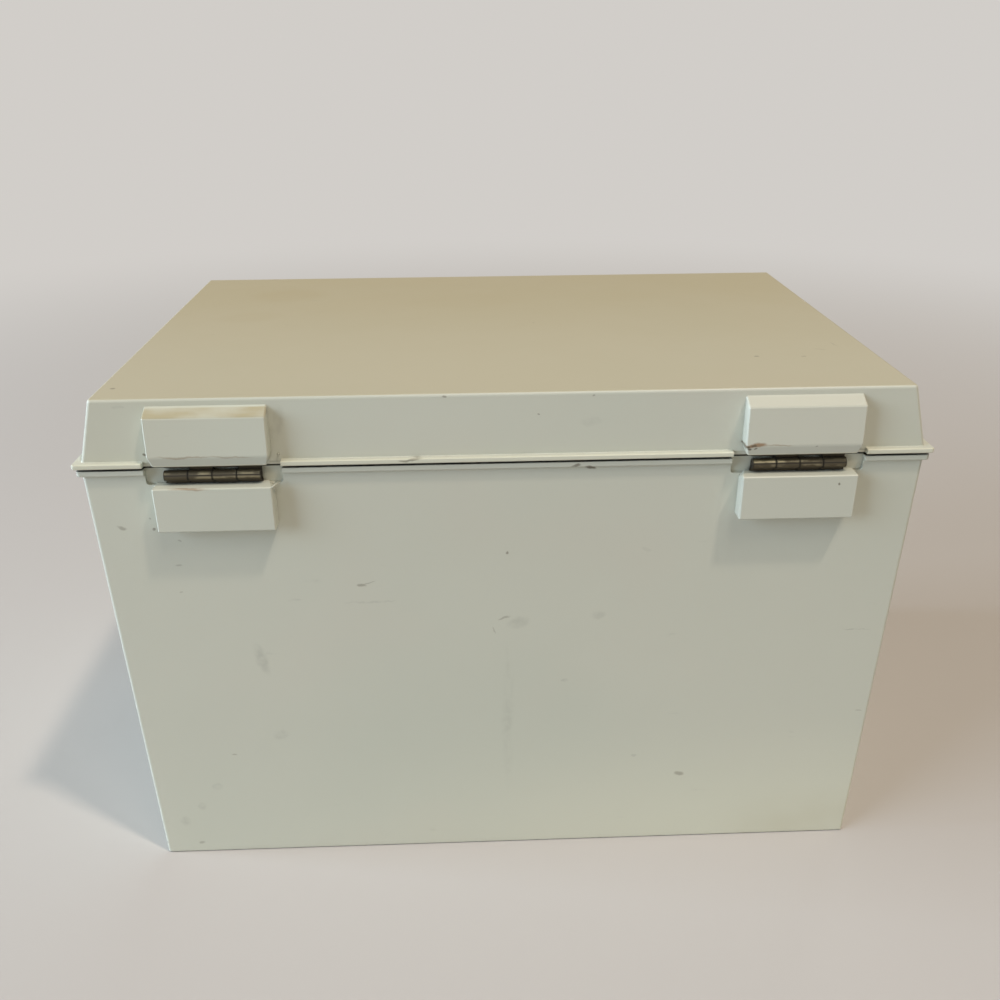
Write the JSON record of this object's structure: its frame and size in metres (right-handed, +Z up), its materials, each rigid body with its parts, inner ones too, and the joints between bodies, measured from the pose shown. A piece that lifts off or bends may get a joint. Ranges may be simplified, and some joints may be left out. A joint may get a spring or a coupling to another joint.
{
  "type": "index card box",
  "caption": "Rectangular moulded card file box with a shallow sloped lid, hinged at the rear on short metal butt hinges set between raised pads; open inside.",
  "frame": {"origin": "bottom centre of the overall size, with the lid shut, on the table", "axes": "+Z up; the front, where the lid opens, faces -Y; the hinges are at the rear, at +Y; +X is the right of someone facing the front"},
  "size_m": [0.228, 0.1524, 0.1533],
  "materials": {
    "ivory_plastic": "aged ivory moulded polystyrene, low sheen",
    "aged_brass": "dark tarnished brass plate"
  },
  "bodies": {
    "base": {"base": "ivory_plastic", "base_leaf_left": "aged_brass", "base_leaf_right": "aged_brass", "hinge_pin_left": "aged_brass", "hinge_pin_right": "aged_brass"},
    "lid": {"lid": "ivory_plastic", "lid_leaf_left": "aged_brass", "lid_leaf_right": "aged_brass"}
  },
  "joints": [
    {"name": "lid_hinge", "type": "hinge", "parent": "base", "child": "lid", "pos_m": [0, 0.07268, 0.1325], "axis": [-1, 0, 0], "range_deg": [0, 88]}
  ]
}
